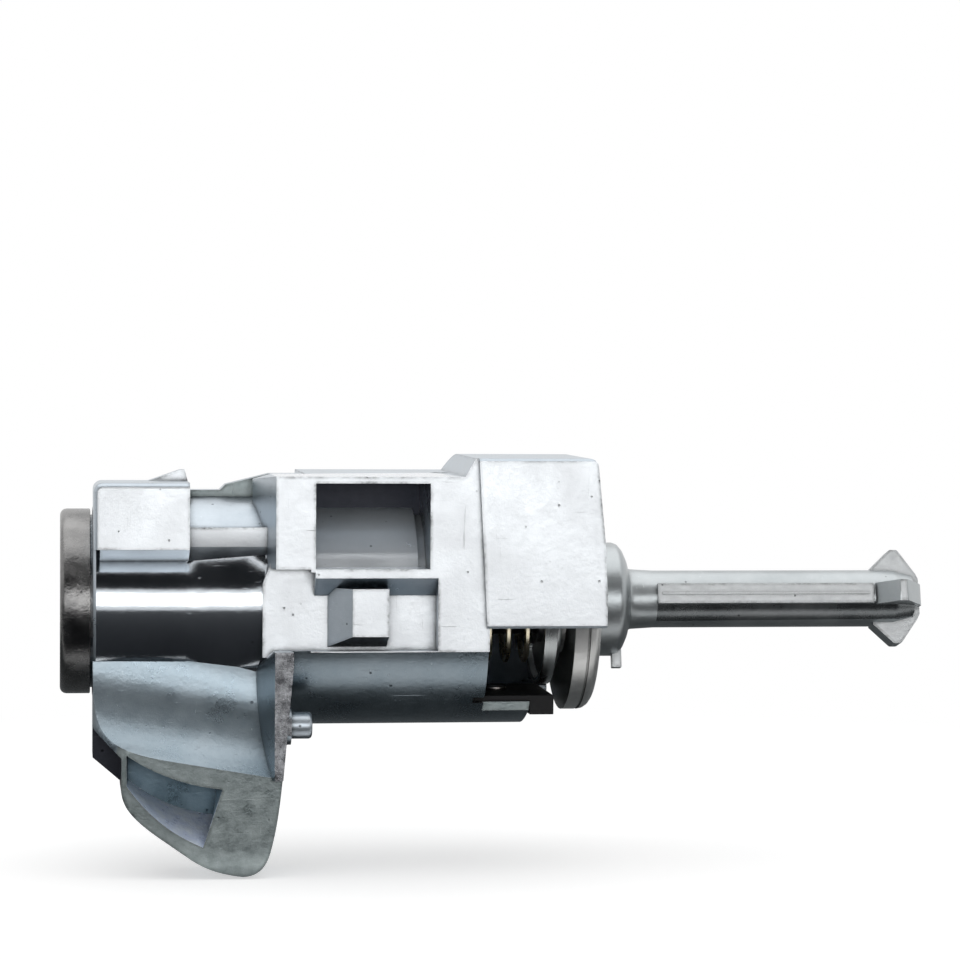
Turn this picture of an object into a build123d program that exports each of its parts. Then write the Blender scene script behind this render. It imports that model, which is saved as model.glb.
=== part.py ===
from build123d import *
import math
import os

os.makedirs("parts", exist_ok=True)

# A car door lock cylinder, in millimetres. X runs along the lock axis from the
# front cap to the tail, +Z is up, and the side with the two windows faces -Y.
# The origin lies on the lock axis, where the cap meets the casting.

# How far two solids of one casting run into each other, and how far a cut
# runs past the surface that it opens
weld = 0.5
clear = 1.0

# Front cap: a drawn steel cup over the nose of the casting
cap_radius = 12.7
cap_length = 4.4
cap_wall = 0.8
cap_corner = 0.9
cap_line = 0.3
cap_hole_radius = 7.3
cap_hole_chamfer = 0.2
cap_press_gap = 0.03

# Nose of the casting and the rubber ring in its groove
nose_step = 0.4
nose_land = 1.3
seal_section = 0.9
seal_gap = 0.03

# Plug, sleeve and the bore that holds them
plug_radius = 7.0
plug_recess = 0.4
plug_running_gap = 0.05
flange_height = 1.4
flange_length = 1.5
flange_gap = 0.1
sleeve_wall = 2.45
sleeve_seat_gap = 0.04
sleeve_rear_x = 50.0
channel_width = 7.0
channel_depth = 1.25
channel_margin = 3.0

# Keyway, wafers and their spring combs
keyway_width = 3.0
keyway_height = 9.0
keyway_depth = 46.0
wafer_count = 8
wafer_first_x = 12.5
wafer_pitch = 3.6
wafer_thickness = 1.0
wafer_width = 6.0
wafer_rim_gap = 0.15
wafer_side_gap = 0.08
wafer_travel = 0.9
wafer_window_width = 3.3
wafer_window_height = 9.3
wafer_tooth_width = 0.5
wafer_tooth_height = 0.9
bitting_step = 0.6
bitting = (2, -1, 1, -2, 3, 1, -3, 2)
ear_length = 0.7
ear_height = 1.2
ear_root = 0.1
comb_strip_height = 0.7
comb_thickness = 0.2
comb_drop = 2.3
comb_end = 0.5
comb_groove_gap = 0.15
finger_width = 0.8
finger_gap = 0.15

# Shutter that closes the keyway
shutter_thickness = 0.7
shutter_set_back = 1.5
shutter_pin_radius = 0.4
shutter_pin_gap = 0.05
shutter_pin_reach = 1.1
shutter_barrel_wall = 0.35
shutter_offset = 2.35
shutter_lap = 0.25
shutter_end_gap = 0.2
shutter_swing_gap = 0.15
shutter_coil_turns = 3
shutter_coil_pitch = 0.45
shutter_coil_room = 0.5
shutter_wire = 0.2
shutter_wire_sides = 5

# Plug neck, clips, coupler and its pin
neck_radius = 5.0
neck_length = 3.0
clip_thickness = 0.8
clip_groove_depth = 0.8
clip_gap = 0.1
clip_reach = 2.6
clip_mouth = 0.8
tongue_width = 2.4
tongue_height = 8.6
tongue_length = 1.7
tongue_gap = 0.08
coupler_radius = 4.8
coupler_pin_radius = 0.6
coupler_pin_end = 0.3
pin_gap = 0.03
stud_radius = 2.0
stud_groove = 0.5
stud_end_land = 0.6
coupler_clip_radius = 3.0

# Barrel of the casting
barrel_radius = 13.3
barrel_chamfer = 0.4
barrel_seam = 0.06
barrel_seam_back = 0.35
barrel_flare = 0.7
flare_end_x = 23.0

# Front block above the barrel
front_block_length = 12.75
front_block_near = 16.5
front_block_back = 5.0
front_block_top = 16.8
front_block_under = 7.9
front_block_round = 1.2
front_block_edge = 0.9
shoulder_drop = 1.7
shoulder_reach = 4.7
snap_length = 5.3
snap_rise = 1.5
snap_width = 3.0
snap_flat = 0.6
snap_end = 0.4

# Recess and web between the front block and the main body
recess_radius = 14.6
recess_end_x = 23.6
web_near = 2.0
web_back = 1.5
web_low = 15.35
web_high = 17.6
web_rise_x = 17.4
web_rise = 0.75
web_knee_x = 20.8
web_knee = 1.4
step_near = 12.6
step_top = 10.7
step_bottom = 8.1
step_gap = 0.3

# Main body of the casting
body_start = 24.2
body_end = 53.0
body_near = 17.0
body_far = 15.5
body_top = 17.7
body_edge = 0.15
under_radius = 17.1
far_start = 28.9
pillar_back = 5.0
pillar_slant = 2.5
top_round = 0.9
slab_start = 22.6
slab_near = 14.3
slab_corner_x = 1.3
slab_corner_low = 3.2
slab_corner_top = 6.7

# The two windows in the near side
window_start = 29.5
window_end = 44.9
window_top = 16.8
window_back = 3.0
window_floor_margin = 1.1
window_floor_step = 0.9
ledge_top = 5.3
ledge_bottom = 4.1
left_pier_under = 4.9
lower_window_end = 46.0
lower_window_bottom = 5.7
lower_window_slope = 2.5

# Lug that stands in the lower window
lug_left = 34.4
lug_right = 39.3
lug_bottom = 3.7
lug_top = 2.7
lug_near = 17.9
lug_slope_left = 3.1
lug_slope_bottom = 1.6

# Rear hood over the return spring and the drive disc
hood_start = 49.6
hood_ramp = 1.4
hood_end_top = 67.5
hood_end_middle = 68.6
hood_middle_z = 9.0
hood_end_bottom = 68.95
hood_knee_z = 1.8
hood_pad = 0.6
pad_top_x = 51.4
pad_bottom_x = 52.6
hood_far = 17.6
hood_top = 20.2
hood_bottom = 2.7
hood_far_round = 12.6
hood_corner = 1.2
hood_lip = 0.35
bay_gap = 0.4

# Tongue that runs on below the bay, and the black strip that it carries
tongue_end_x = 59.6
tongue_end_slant = 0.4
tongue_half_width = 8.9
tongue_top = 13.4
far_wall_gap = 0.4
strip_start_x = 51.5
strip_half_width = 8.6
strip_thickness = 0.75
strip_gap = 0.05
strip_foot_length = 3.4
strip_foot_height = 1.9
rivet_radius = 0.9
rivet_x = 56.0
rivet_head = 1.5
rivet_head_height = 0.45
rivet_depth = 3.0

# Transverse plate behind the fin, and its peg
plate_left = 24.05
plate_thickness = 2.5
plate_taper = 1.35
plate_near = 18.2
plate_far = 6.0
plate_top = 4.5
plate_top_drop = 3.0
plate_round = 1.1
plate_bottom = 22.9
plate_draft = 2.1
plate_draft_run = 7.2
peg_radius = 1.8
peg_end_x = 29.15
peg_y = -15.6
peg_z = -15.7
peg_round = 0.5
peg_seat_radius = 2.6
peg_seat_x = 26.3

# Hooked fin under the barrel: its dished shelf, and the pocket in its lobe
fin_near = 17.0
fin_back = 4.0
fin_root_z = 7.4
fin_sweep = 10.5
fin_bow = 6.0
fin_left_depth = 20.4
dish_radius = 16.9
dish_axis_z = 5.4
dish_slope = 0.172
rim_left = 0.4
rim_right = 2.8
undercut_rise = 3.1
undercut_drop = 0.95
lobe_left = 3.75
lobe_left_top = 23.6
lobe_chin = 1.0
lobe_cheek_x = 5.4
lobe_cheek_z = 27.75
chin_lean = 0.15
tip_lean = 0.12
back_lean = 0.02
heel_lean = 0.1
floor_draft = 0.8
lobe_belly_x = 10.9
lobe_belly_z = 32.0
lobe_tip_x = 19.9
lobe_tip_z = 35.85
lobe_back_x = 23.85
lobe_back_z = 31.7
undercut_near = 10.5
pocket_back = 9.0
pocket_left = 0.65
pocket_floor = 1.9
pocket_rise = 3.6
pocket_right_x = 17.2
pocket_right_low_x = 14.5
pocket_bow = 0.9
pocket_draft = 0.4

# Drive disc, collar and tail shaft
disc_radius = 15.3
disc_front_x = 65.0
disc_length = 3.8
disc_line_x = 1.85
disc_line_width = 0.3
disc_line_depth = 0.3
disc_rear_round = 1.6
disc_hub_radius = 7.4
disc_hub_length = 0.8
disc_floor = 1.8
disc_neck_radius = 4.2
disc_neck_length = 5.0
neck_bore_radius = 3.3
neck_seat_gap = 0.04
collar_radius = 7.95
collar_length = 3.5
collar_gap = 0.08
dome_length = 2.6
dome_end = 2.17
shaft_radius = 4.0
shaft_start_radius = 4.2
tail_roll = -14.5
rib_width = 2.8
rib_height = 0.45
rib_sink = 0.8
rib_start_gap = 3.8
rib_end_gap = 0.4
parting_ridge_width = 0.3
parting_ridge_height = 0.14
parting_ridge_end = 0.6
tail_end_x = 116.25
tip_length = 6.8
tip_peak_back = 3.4
tip_radius = 6.7
tip_end_radius = 3.3
tip_flat = 0.55
tip_end_bevel = 0.4
tip_core_back = 1.0
tip_core_taper = 3.0
fin_thickness = 3.0
tip_end_round = 0.5
cross_pin_side = 1.35
cross_pin_x = 3.95
cross_pin_out = 1.8
cross_pin_in = 2.7

# Return spring, its two stops and its seat
spring_wire = 0.85
spring_wire_sides = 6
spring_mean_radius = 8.4
spring_pitch = 2.63
spring_turns = 2.45
spring_roll = 75.0
spring_start_gap = 0.5
spring_leg = 3.2
stop_gap = 0.3
stop_width = 1.3
stop_low = 9.4
stop_high = 11.3
stop_length = 1.5
seat_thickness = 1.8
seat_radius = 11.8
seat_bore_gap = 0.12
seat_lip = 1.0
washer_thickness = 0.8
washer_radius = 9.4
stack_gap = 0.08

# Pin that holds the sleeve in the casting
sleeve_pin_radius = 1.2
sleeve_pin_x = 48.0
sleeve_pin_entry = 0.9
sleeve_pin_sink = 0.4

# Flats that stand for one rounded corner of a turned piece
corner_flats = 4

# Values that follow from the sizes above
cap_front_x = -cap_length
cap_bore_radius = cap_radius - cap_wall
cap_inner_x = cap_front_x + cap_wall
nose_front_x = cap_inner_x + plug_running_gap
nose_radius = cap_bore_radius - nose_step
sleeve_bore = plug_radius + plug_running_gap
sleeve_radius = sleeve_bore + sleeve_wall
bore_radius = sleeve_radius + sleeve_seat_gap
sleeve_front_x = nose_front_x
plug_front_x = cap_front_x + plug_recess
flange_front_x = sleeve_front_x + flange_gap
flange_back_x = flange_front_x + flange_length
flange_radius = plug_radius + flange_height
plug_shoulder_x = sleeve_rear_x + clip_gap
plug_rear_x = plug_shoulder_x + neck_length
wafer_xs = [wafer_first_x + i * wafer_pitch for i in range(wafer_count)]
wafer_ring = plug_radius - wafer_rim_gap
keyway_end_x = plug_front_x + keyway_depth
disc_rear_x = disc_front_x + disc_length
bay_radius = disc_radius + bay_gap
hood_near = body_near + hood_pad
plate_right = plate_left + plate_thickness
strip_floor = -tongue_top + strip_gap
strip_end_x = tongue_end_x + strip_foot_length
tip_start_x = tail_end_x - tip_length
tip_peak_x = tail_end_x - tip_peak_back
rib_end_x = tip_start_x - rib_end_gap
collar_end_x = disc_rear_x + collar_length
dome_end_x = collar_end_x + dome_end
rib_start_x = dome_end_x + rib_start_gap


def block(x0, x1, y0, y1, z0, z1):
    """A rectangular solid between two opposite corners."""
    size = Box(x1 - x0, y1 - y0, z1 - z0)
    return Pos((x0 + x1) / 2, (y0 + y1) / 2, (z0 + z1) / 2) * size


def rod_x(radius, x0, x1, y=0.0, z=0.0):
    """A round bar along X."""
    bar = Cylinder(radius, x1 - x0)
    return Pos((x0 + x1) / 2, y, z) * Rot(0, 90, 0) * bar


def rod_y(radius, y0, y1, x, z):
    """A round bar along Y."""
    return Pos(x, (y0 + y1) / 2, z) * Rot(90, 0, 0) * Cylinder(radius, y1 - y0)


def rod_z(radius, z0, z1, x, y):
    """A round bar along Z."""
    return Pos(x, y, (z0 + z1) / 2) * Cylinder(radius, z1 - z0)


def turned(points):
    """A turned solid from a closed outline of (x, radius) points."""
    outline = make_face(Plane.XZ * Polyline(*points, close=True))
    return revolve(outline, Axis.X, 360)


def arc_points(x, radius, across, height, start, end):
    """Points on a quarter of an ellipse, for a corner of a turned outline."""
    points = []
    for i in range(corner_flats + 1):
        angle = math.radians(start + (end - start) * i / corner_flats)
        points.append((x + across * math.cos(angle), radius + height * math.sin(angle)))
    return points


def side_profile(lines, y0, y1):
    """A closed outline seen from the side (x, z), carried from y0 to y1."""
    face = make_face(Plane.XZ.offset(-y0) * lines)
    return extrude(face, amount=y1 - y0, dir=(0, 1, 0))


def end_profile(lines, x0, x1):
    """A closed outline seen along the axis (y, z), carried from x0 to x1."""
    face = make_face(Plane.YZ.offset(x0) * lines)
    return extrude(face, amount=x1 - x0, dir=(1, 0, 0))


def plan_profile(lines, z0, z1):
    """A closed outline seen from above (x, y), carried from z0 to z1."""
    face = make_face(Plane.XY.offset(z0) * lines)
    return extrude(face, amount=z1 - z0, dir=(0, 0, 1))


def closed(points):
    """A closed outline with straight sides."""
    return Polyline(*points, close=True)


def edges_on(shape, axis, place, tolerance=0.02):
    """The edges that lie wholly in the plane across an axis at one place."""
    found = []
    for edge in shape.edges():
        box = edge.bounding_box()
        low = {"X": box.min.X, "Y": box.min.Y, "Z": box.min.Z}[axis]
        high = {"X": box.max.X, "Y": box.max.Y, "Z": box.max.Z}[axis]
        if abs(low - place) < tolerance and abs(high - place) < tolerance:
            found.append(edge)
    return ShapeList(found)


# The casting

def casting_nose():
    """Stepped nose that carries the front cap and the rubber ring."""
    land_x = -nose_land
    seal_x = (nose_front_x + land_x) / 2
    half = seal_section / 2 + seal_gap
    floor = cap_bore_radius - seal_section - seal_gap
    return turned([
        (nose_front_x, 0), (nose_front_x, nose_radius),
        (seal_x - half, nose_radius), (seal_x - half, floor),
        (seal_x + half, floor), (seal_x + half, nose_radius),
        (land_x, nose_radius), (land_x, cap_bore_radius - cap_press_gap),
        (weld, cap_bore_radius - cap_press_gap), (weld, 0),
    ])


def barrel():
    """Round barrel with a parting seam, then a slight flare to the body."""
    seam_x = front_block_length - barrel_seam_back
    flare = barrel_radius + barrel_flare
    return turned([
        (0, 0), (0, barrel_radius - barrel_chamfer),
        (barrel_chamfer, barrel_radius), (seam_x, barrel_radius),
        (seam_x, barrel_radius - barrel_seam), (flare_end_x, flare),
        (body_start + clear, flare), (body_start + clear, 0),
    ])


def front_block():
    """Flat-faced block above the barrel, with its slanted underside and snap."""
    rect = block(0, front_block_length, -front_block_near, -front_block_back,
                 front_block_under, front_block_top)
    rect = fillet(edges_on(rect, "X", 0).filter_by(Axis.Y).sort_by(Axis.Z)[-1:],
                  front_block_round)
    upright = edges_on(rect, "X", 0).filter_by(Axis.Z).sort_by(Axis.Y)[:1]
    rect = fillet(upright, front_block_edge)
    inner = -front_block_near + shoulder_reach
    shoulder = end_profile(closed([
        (-front_block_near, front_block_under),
        (inner, front_block_under - shoulder_drop),
        (0, front_block_under - shoulder_drop),
        (0, front_block_under + weld),
        (-front_block_near, front_block_under + weld),
    ]), front_block_edge, front_block_length)
    snap_x = front_block_length - snap_length
    peak = front_block_top + snap_rise
    snap = side_profile(closed([
        (snap_x, front_block_top),
        (front_block_length - snap_end - snap_flat, peak),
        (front_block_length - snap_end, peak),
        (front_block_length, front_block_top),
        (front_block_length, front_block_top - weld),
        (snap_x, front_block_top - weld),
    ]), -front_block_back - snap_width, -front_block_back)
    return rect + shoulder + snap


def web():
    """Round-backed recess, its step, and the web that rises to the main body."""
    x0 = front_block_length - weld
    x1 = far_start + weld
    recess = block(x0, recess_end_x, -recess_radius, 0,
                   step_bottom, recess_radius)
    behind = block(x0, x1, -pillar_back, recess_radius,
                   -lower_window_bottom, recess_radius)
    round_back = rod_x(recess_radius, x0, x1) & (recess + behind)
    rise = side_profile(closed([
        (x0, step_bottom), (x0, web_low), (web_rise_x, web_low),
        (web_rise_x + web_rise, web_low + web_rise),
        (web_knee_x, web_low + web_knee), (body_start, web_high),
        (window_start, web_high), (window_start, step_bottom),
    ]), -web_near, web_back)
    front = block(x0 - clear, x0 + clear, -front_block_back - weld, web_back,
                  front_block_under, web_low)
    step = block(x0, recess_end_x - step_gap, -step_near, 0,
                 step_bottom, step_top)
    strip = end_profile(closed([
        (-step_near, step_bottom + weld), (-step_near, step_bottom),
        (-front_block_near + shoulder_reach, front_block_under - shoulder_drop),
        (0, front_block_under - shoulder_drop), (0, step_bottom + weld),
    ]), x0, body_start + weld)
    return round_back + rise + front + step + strip


def main_body():
    """Main body: flat near side, round underside, pillar and slab at its front."""
    near_low = -lower_window_bottom - body_edge
    upper = block(far_start, body_end, -body_near, body_far, near_low, body_top)
    far_edge = edges_on(upper, "Y", body_far).filter_by(Axis.X).sort_by(Axis.Z)
    upper = fillet(far_edge[-1:], top_round)
    lower = rod_x(under_radius, body_start + weld, body_end)
    lower &= block(body_start, body_end, -under_radius - clear, body_far,
                   -under_radius - clear, -lower_window_bottom)
    slab = side_profile(closed([
        (slab_start, -lower_window_bottom - clear),
        (slab_start, slab_corner_low),
        (slab_start + slab_corner_x, slab_corner_top),
        (far_start + weld, slab_corner_top),
        (far_start + weld, -lower_window_bottom - clear),
    ]), -slab_near, body_far - clear)
    return upper + lower + pillar() + slab


def pillar():
    """Pillar left of the upper window, with a slanted front face."""
    inner_x = body_start - pillar_slant
    solid = plan_profile(closed([
        (body_start, -body_near), (window_start, -body_near),
        (window_start, -pillar_back), (inner_x, -pillar_back),
    ]), ledge_top, body_top)
    solid &= side_profile(closed([
        (web_knee_x, ledge_top), (web_knee_x, web_low + web_knee),
        (body_start, body_top), (window_start, body_top),
        (window_start, ledge_top),
    ]), -body_near, -pillar_back)
    return solid + block(body_start, window_start, -pillar_back - weld,
                         web_back, ledge_top, web_high)


def windows():
    """The two windows, as the solids that are taken out of the near side."""
    front = -lug_near - clear
    upper = block(window_start, window_end, front, -window_back,
                  ledge_top, window_top)
    floor_end = window_end - window_floor_margin
    upper -= rod_x(barrel_radius, window_start - clear, floor_end)
    upper -= rod_x(barrel_radius - window_floor_step, floor_end - clear,
                   window_end + clear)
    lower = end_profile(closed([
        (front, -lower_window_bottom), (-slab_near, -lower_window_bottom),
        (-slab_near, ledge_bottom - lower_window_slope),
        (-body_near, ledge_bottom), (front, ledge_bottom),
    ]), slab_start - clear, lower_window_end)
    left = block(slab_start - clear, window_start, front, -slab_near,
                 -lower_window_bottom, left_pier_under)
    return upper + lower + left


def lug():
    """Lug with sloped left and bottom sides in the lower window."""
    root = -slab_near + weld
    scale = (lug_near - slab_near + weld) / (lug_near - slab_near)
    left = lug_left - lug_slope_left * scale
    bottom = -lug_bottom - lug_slope_bottom * scale
    base = Plane.XZ.offset(-root) * closed([
        (left, bottom), (lug_right, bottom), (lug_right, lug_top),
        (left, lug_top)])
    face = Plane.XZ.offset(lug_near) * closed([
        (lug_left, -lug_bottom), (lug_right, -lug_bottom),
        (lug_right, lug_top), (lug_left, lug_top)])
    return loft([make_face(base), make_face(face)])


def hood_end():
    """Rear edge of the hood seen from the side, from its top to its bottom."""
    return [
        (hood_end_top, hood_top), (hood_end_middle, hood_middle_z),
        (hood_end_bottom, hood_knee_z), (hood_end_bottom, -hood_bottom),
    ]


def hood_section():
    """Section of the hood: flat top, large far corner, straight walls."""
    middle_y = hood_far - hood_far_round
    middle_z = hood_top - hood_far_round
    slant = hood_far_round / math.sqrt(2)
    walls = Polyline(
        (middle_y, hood_top), (-body_near, hood_top),
        (-body_near, -hood_bottom), (hood_far, -hood_bottom),
        (hood_far, middle_z))
    corner = ThreePointArc(
        (hood_far, middle_z), (middle_y + slant, middle_z + slant),
        (middle_y, hood_top))
    return Curve() + [walls, corner]


def hood():
    """Rear hood, open below, with a raised pad on its near side."""
    shell = end_profile(hood_section(), hood_start, hood_end_bottom)
    side = side_profile(closed([
        (hood_start, body_top - clear), (hood_start, body_top),
        (hood_start + hood_ramp, hood_top), *hood_end(),
        (body_end - weld, -hood_bottom), (body_end - weld, body_top - clear),
    ]), -body_near, hood_far)
    pad = side_profile(closed([
        (pad_top_x, hood_top), *hood_end(), (pad_bottom_x, -hood_bottom),
    ]), -hood_near, -body_near + weld)
    solid = shell & side
    solid += pad
    lip = edges_on(solid, "Y", -hood_near).filter_by(Axis.X)
    solid = chamfer(lip, hood_lip)
    corner = [e for e in solid.edges().filter_by(Axis.Y)
              if abs(e.center().X - hood_end_top) < weld
              and e.center().Z > hood_top - weld]
    return fillet(corner, hood_corner)


def rear_tongue():
    """Tongue that runs on from the bottom of the body under the spring."""
    x0 = body_end - clear
    solid = rod_x(under_radius, x0, tongue_end_x)
    solid &= side_profile(closed([
        (x0, -tongue_top), (tongue_end_x, -tongue_top),
        (tongue_end_x - tongue_end_slant, -under_radius), (x0, -under_radius),
    ]), -tongue_half_width, tongue_half_width)
    return solid


def far_wall():
    """Round wall that closes the spring's bay on the far side."""
    x0 = body_end - weld
    x1 = disc_front_x - far_wall_gap
    return rod_x(under_radius, x0, x1) & block(
        x0, x1, tongue_half_width, under_radius, -under_radius, 0)


def plate():
    """Transverse plate behind the fin: drafted front face, tapered rear face."""
    root_x = plate_left - plate_draft
    solid = plan_profile(closed([
        (plate_left, -plate_near), (plate_right, -plate_near),
        (plate_right, plate_far), (root_x, plate_far),
        (root_x, -plate_near + plate_draft_run),
    ]), -plate_bottom, -plate_top)
    top_inner = -plate_top - plate_top_drop
    solid -= end_profile(closed([
        (-plate_near, -plate_top), (-plate_near + plate_draft_run, top_inner),
        (plate_far + clear, top_inner), (plate_far + clear, 0), (-plate_near, 0),
    ]), root_x - clear, plate_right + clear)
    solid -= side_profile(closed([
        (plate_right, -plate_top - plate_top_drop),
        (plate_right - plate_taper, -plate_bottom),
        (plate_right + clear, -plate_bottom),
        (plate_right + clear, -plate_top - plate_top_drop),
    ]), -plate_near - clear, plate_far + clear)
    ends = [e for e in solid.edges()
            if abs(e.center().Z + plate_top + plate_top_drop / 2) < weld
            and e.bounding_box().size.Y > plate_draft_run - clear]
    return fillet(ends, plate_round)


def peg():
    """Locating peg on a small flat seat at the rear of the plate."""
    solid = rod_x(peg_radius, plate_right - clear, peg_end_x, peg_y, peg_z)
    solid = fillet(edges_on(solid, "X", peg_end_x), peg_round)
    return solid + rod_x(peg_seat_radius, plate_right - clear, peg_seat_x,
                         peg_y, peg_z)


def fin_outline():
    """Outline of the hooked fin seen from the side."""
    heel_x = plate_right - plate_taper
    chin = (lobe_left, -lobe_left_top - lobe_chin)
    cheek = (lobe_cheek_x, -lobe_cheek_z)
    belly = (lobe_belly_x, -lobe_belly_z)
    tip = (lobe_tip_x, -lobe_tip_z)
    back = (lobe_back_x, -lobe_back_z)
    heel = (heel_x, -plate_bottom)
    bottom = Spline(chin, cheek, belly, tip, tangents=[(chin_lean, -1), (1, -tip_lean)])
    rear = Spline(tip, back, heel, tangents=[(1, back_lean), (heel_lean, 1)])
    rest = Polyline(heel, (heel_x, -fin_root_z), (0, -fin_root_z),
                    (0, -fin_left_depth), (lobe_left, -lobe_left_top), chin)
    return Curve() + [bottom, rear, rest]


def fin_plan():
    """Fin seen from above: its near side sweeps back to the left in a bow."""
    side_y = -fin_near + fin_bow
    left = Spline((0, side_y), (fin_sweep, -fin_near), tangents=[(0, -1), (1, 0)])
    rest = Polyline((fin_sweep, -fin_near), (plate_right, -fin_near),
                    (plate_right, -fin_back), (0, -fin_back), (0, side_y))
    return Curve() + [left, rest]


def dish():
    """The hollow of the shelf: a slanted round trough, open upwards."""
    slope = math.atan(dish_slope)
    along = Vector(math.cos(slope), 0, -math.sin(slope))
    trough_y = -fin_near + fin_bow - dish_radius
    start = Vector(0, trough_y, -dish_axis_z) - along * dish_radius
    across = Plane(origin=start, x_dir=(0, 1, 0), z_dir=along)
    hollow = Circle(dish_radius)
    hollow += Pos(0, dish_radius) * Rectangle(2 * dish_radius, 2 * dish_radius)
    return extrude(across * hollow, amount=plate_right + 2 * dish_radius)


def shelf_edge_z(x):
    """Height of the shelf's near edge at one place along the axis."""
    rise = math.sqrt(dish_radius ** 2 - (dish_radius - fin_bow) ** 2)
    return -dish_axis_z - dish_slope * x - rise


def lobe_pocket():
    """Open pocket in the near side of the lobe, with a floor that slopes up."""
    left = lobe_left + pocket_left
    faces = []
    for depth, draft, rise in ((fin_near + clear / 2, 0, 0),
                               (pocket_back, pocket_draft, pocket_rise)):
        top_left = (left + draft, shelf_edge_z(left) - rim_left - draft)
        top_right = (pocket_right_x - draft,
                     shelf_edge_z(pocket_right_x) - rim_right - draft / 2)
        middle = ((top_left[0] + top_right[0]) / 2,
                  (top_left[1] + top_right[1]) / 2 - pocket_bow)
        low_x = pocket_right_low_x + rise / 2
        low_right = (low_x, -lobe_tip_z + pocket_floor * 2 + rise)
        belly = (lobe_belly_x, -lobe_belly_z + pocket_floor + rise * floor_draft)
        chin = (left + draft, -lobe_left_top)
        top = ThreePointArc(top_left, middle, top_right)
        right = Line(top_right, low_right)
        lower = Spline(low_right, belly, chin)
        side = Line(chin, top_left)
        outline = Curve() + [top, right, lower, side]
        faces.append(make_face(Plane.XZ.offset(depth) * outline))
    return loft(faces, ruled=True)


def fin():
    """Hooked fin: dished shelf above, undercut and open pocket below."""
    solid = side_profile(fin_outline(), -fin_near, -fin_back)
    solid &= plan_profile(fin_plan(), -lobe_tip_z - clear, 0)
    solid -= dish()
    left_low = shelf_edge_z(0) + undercut_rise
    right_low = shelf_edge_z(lobe_left) - undercut_drop
    solid -= side_profile(closed([
        (-clear, left_low), (lobe_left, right_low),
        (lobe_left, -lobe_left_top - clear), (-clear, -lobe_left_top - clear),
    ]), -fin_near - clear, -undercut_near)
    return solid - lobe_pocket()


def spring_stop(x0, x1, roll):
    """Stop block beside a leg of the return spring."""
    side = spring_wire / 2 + stop_gap
    stop = block(x0, x1, side, side + stop_width, stop_low, stop_high)
    return Rot(roll, 0, 0) * stop


def strip_slot():
    """Slot in the end of the body for the front of the black strip."""
    reach = under_radius + clear
    return block(strip_start_x - strip_gap, body_end + clear, -reach, reach,
                 -tongue_top, -tongue_top + strip_thickness + 2 * strip_gap)


def housing():
    """The casting as one solid."""
    solid = barrel()
    solid += front_block()
    solid += web()
    solid += main_body()
    solid += fin()
    solid += plate()
    solid += peg()
    solid -= windows()
    solid += lug()
    solid += hood()
    solid += far_wall()
    solid -= rod_x(bay_radius, body_end, hood_end_bottom + clear)
    solid += rear_tongue()
    solid += spring_stop(body_end - weld, body_end + stop_length, spring_roll)
    solid += casting_nose()
    solid -= strip_slot()
    solid -= rod_x(bore_radius, nose_front_x - clear, body_end + stop_length)
    low, high = sleeve_pin_span()
    solid -= rod_z(sleeve_pin_radius + pin_gap, low, high + clear,
                   sleeve_pin_x, 0)
    return solid - rod_z(rivet_radius + pin_gap, -tongue_top - rivet_depth,
                         -tongue_top + clear, rivet_x, 0)


# The cap, the seal and the lock core

def front_cap():
    """Drawn cup with a round corner and a hole for the plug."""
    rim_x = -cap_line
    corner = arc_points(cap_front_x + cap_corner, cap_radius - cap_corner,
                        cap_corner, cap_corner, 180, 90)
    return turned([
        (cap_front_x + cap_hole_chamfer, cap_hole_radius),
        (cap_front_x, cap_hole_radius + cap_hole_chamfer), *corner,
        (rim_x, cap_radius), (rim_x, cap_bore_radius),
        (cap_inner_x, cap_bore_radius), (cap_inner_x, cap_hole_radius),
    ])


def cap_seal():
    """Rubber ring in the groove of the nose."""
    seal_x = (nose_front_x - nose_land) / 2
    half = seal_section / 2
    outer = cap_bore_radius - seal_gap / 2
    inner = outer - seal_section
    return turned([
        (seal_x - half, inner), (seal_x - half, outer),
        (seal_x + half, outer), (seal_x + half, inner),
    ])


def lock_sleeve():
    """Turned sleeve with a counterbore and four wafer channels."""
    counter_radius = flange_radius + flange_gap
    counter_x = flange_back_x + flange_gap
    solid = turned([
        (sleeve_front_x, counter_radius), (sleeve_front_x, sleeve_radius),
        (sleeve_rear_x, sleeve_radius), (sleeve_rear_x, sleeve_bore),
        (counter_x, sleeve_bore), (counter_x, counter_radius),
    ])
    depth = sleeve_bore + channel_depth
    half = channel_width / 2
    x0 = wafer_xs[0] - channel_margin
    x1 = wafer_xs[-1] + channel_margin
    solid -= block(x0, x1, -half, half, -depth, depth)
    solid -= block(x0, x1, -depth, depth, -half, half)
    hole = sleeve_pin_radius + pin_gap
    return solid - rod_z(hole, sleeve_radius - sleeve_pin_entry,
                         sleeve_radius + clear, sleeve_pin_x, 0)


def sleeve_pin_span():
    """Lower and upper end of the pin that holds the sleeve."""
    low = sleeve_radius - sleeve_pin_entry + pin_gap
    return low, body_top - sleeve_pin_sink


def sleeve_pin():
    """Steel pin from the top of the casting into the sleeve."""
    low, high = sleeve_pin_span()
    return rod_z(sleeve_pin_radius, low, high, sleeve_pin_x, 0)


def ear_side(index):
    """Wafers move up and down in turn, with their ears on opposite sides."""
    return 1 if index % 2 == 0 else -1


def mirrored_y(y0, y1, side):
    """A span across the lock, or its mirror image on the other side."""
    return (y0, y1) if side > 0 else (-y1, -y0)


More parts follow.
